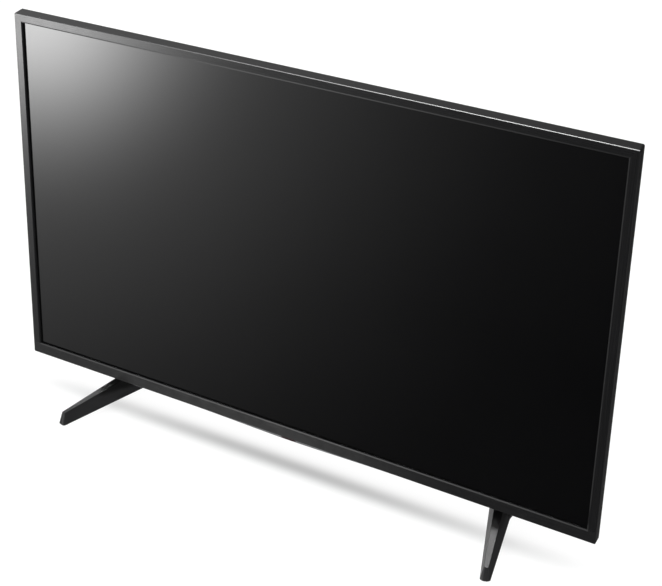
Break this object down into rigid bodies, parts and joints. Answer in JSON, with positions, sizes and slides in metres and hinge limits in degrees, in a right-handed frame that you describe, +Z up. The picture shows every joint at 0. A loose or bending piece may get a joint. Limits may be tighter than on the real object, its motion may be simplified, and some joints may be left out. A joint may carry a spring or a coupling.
{
  "type": "flat screen television",
  "caption": "Slim-bezel flat LCD television on two splayed blade feet, with backlight, boards, speakers and a joystick button under the middle.",
  "frame": {"origin": "middle of the footprint on the table, below the set's centre line, halfway between the front and rear toes", "axes": "+X to the viewer's right, the screen faces -Y, +Z up"},
  "size_m": [0.973, 0.2208, 0.627],
  "materials": {
    "bezel_plastic": "black moulded plastic with a fine brushed grain, satin gloss",
    "lens_plastic": "smoked grey plastic, satin",
    "foam": "closed-cell foam, matte",
    "panel_glass": "anti-glare coated glass, near black when off",
    "flex_film": "amber polyimide film",
    "pcb": "green solder mask",
    "frame_plastic": "black moulded plastic, matte",
    "film_clear": "translucent optical film",
    "diffuser": "milky translucent plate",
    "white_plastic": "white moulded plastic",
    "reflector": "white microfoam sheet, matte",
    "led_pcb": "white solder mask",
    "led": "phosphor under clear resin",
    "clear_lens": "clear moulded lens",
    "steel_sheet": "galvanised sheet steel",
    "steel_bright": "zinc-plated steel, machined",
    "screw_black": "black oxide",
    "component_dark": "moulded black epoxy",
    "component_wound": "yellow tape over ferrite",
    "capacitor": "sleeved aluminium can",
    "heatsink": "extruded, plain",
    "tin_can": "tinned steel shell",
    "socket_metal": "nickel-plated shell",
    "socket_plastic": "black insulator",
    "ribbon": "white flat cable",
    "lead_black": "black insulated wire",
    "button": "black textured plastic",
    "stalk_white": "natural acetal",
    "speaker_shell": "black moulded plastic",
    "cone": "black paper cone",
    "surround": "black rubber",
    "magnet": "sintered magnet and steel pot",
    "cover_plastic": "black fine-textured plastic",
    "foot_gloss": "black glass-filled plastic, semi-gloss paint",
    "pad_rubber": "black rubber"
  },
  "bodies": {
    "set": {"front_bezel": "bezel_plastic", "chin_lens": "lens_plastic", "panel_gasket": "foam", "lcd_panel": "panel_glass", "panel_flex_films": "flex_film", "source_board_left": "pcb", "source_board_right": "pcb", "middle_frame": "frame_plastic", "prism_sheet": "film_clear", "diffuser_sheet": "film_clear", "diffuser_plate": "diffuser", "plate_supports": "white_plastic", "reflector_sheet": "reflector", "led_strips": "led_pcb", "led_packages": "led", "led_lenses": "clear_lens", "rear_chassis": "steel_sheet", "vesa_posts": "steel_bright", "power_board": "pcb", "power_transformers": "component_wound", "power_capacitors": "capacitor", "power_heatsinks": "heatsink", "main_board": "pcb", "processor": "component_dark", "processor_heatsink": "heatsink", "tuner": "tin_can", "hdmi_sockets": "socket_metal", "usb_socket": "socket_metal", "lan_socket": "socket_plastic", "av_sockets": "socket_plastic", "optical_socket": "socket_plastic", "tcon_board": "pcb", "wifi_module": "pcb", "ir_board": "pcb", "power_harness": "ribbon", "panel_ribbon": "ribbon", "source_ribbons": "ribbon", "speaker_leads": "lead_black", "power_inlet": "socket_plastic", "board_screws": "steel_bright", "control_housing": "frame_plastic", "control_board": "pcb", "speaker_box_left": "speaker_shell", "speaker_box_right": "speaker_shell", "speaker_surrounds": "surround", "speaker_motors": "magnet", "rear_cover": "cover_plastic", "side_jack_plate": "cover_plastic", "rear_jack_plate": "cover_plastic", "cover_screws": "screw_black", "stand_brackets": "steel_sheet", "foot_left": "foot_gloss", "foot_right": "foot_gloss", "foot_pads": "pad_rubber", "foot_screws": "screw_black"},
    "joystick_gimbal": {"control_gimbal": "stalk_white"},
    "joystick_stalk": {"control_stalk": "stalk_white"},
    "joystick_cap": {"control_cap": "button"},
    "cone_left": {"speaker_cone_left": "cone"},
    "cone_right": {"speaker_cone_right": "cone"}
  },
  "joints": [
    {"name": "joystick_tilt_front_back", "type": "hinge", "parent": "set", "child": "joystick_gimbal", "pos_m": [0, -0.002, 0.066], "axis": [1, 0, 0], "range_deg": [-8, 8], "stiffness_Nm_per_rad": 0.02},
    {"name": "joystick_tilt_side", "type": "hinge", "parent": "joystick_gimbal", "child": "joystick_stalk", "pos_m": [0, -0.002, 0.066], "axis": [0, 1, 0], "range_deg": [-8, 8], "stiffness_Nm_per_rad": 0.02},
    {"name": "joystick_press", "type": "slide", "parent": "joystick_stalk", "child": "joystick_cap", "axis": [0, 0, 1], "range_m": [0, 0.0008], "stiffness_N_per_m": 200},
    {"name": "cone_stroke_left", "type": "slide", "parent": "set", "child": "cone_left", "axis": [0, 0, 1], "range_m": [-0.001, 0.001], "stiffness_N_per_m": 500},
    {"name": "cone_stroke_right", "type": "slide", "parent": "set", "child": "cone_right", "axis": [0, 0, 1], "range_m": [-0.001, 0.001], "stiffness_N_per_m": 500}
  ]
}
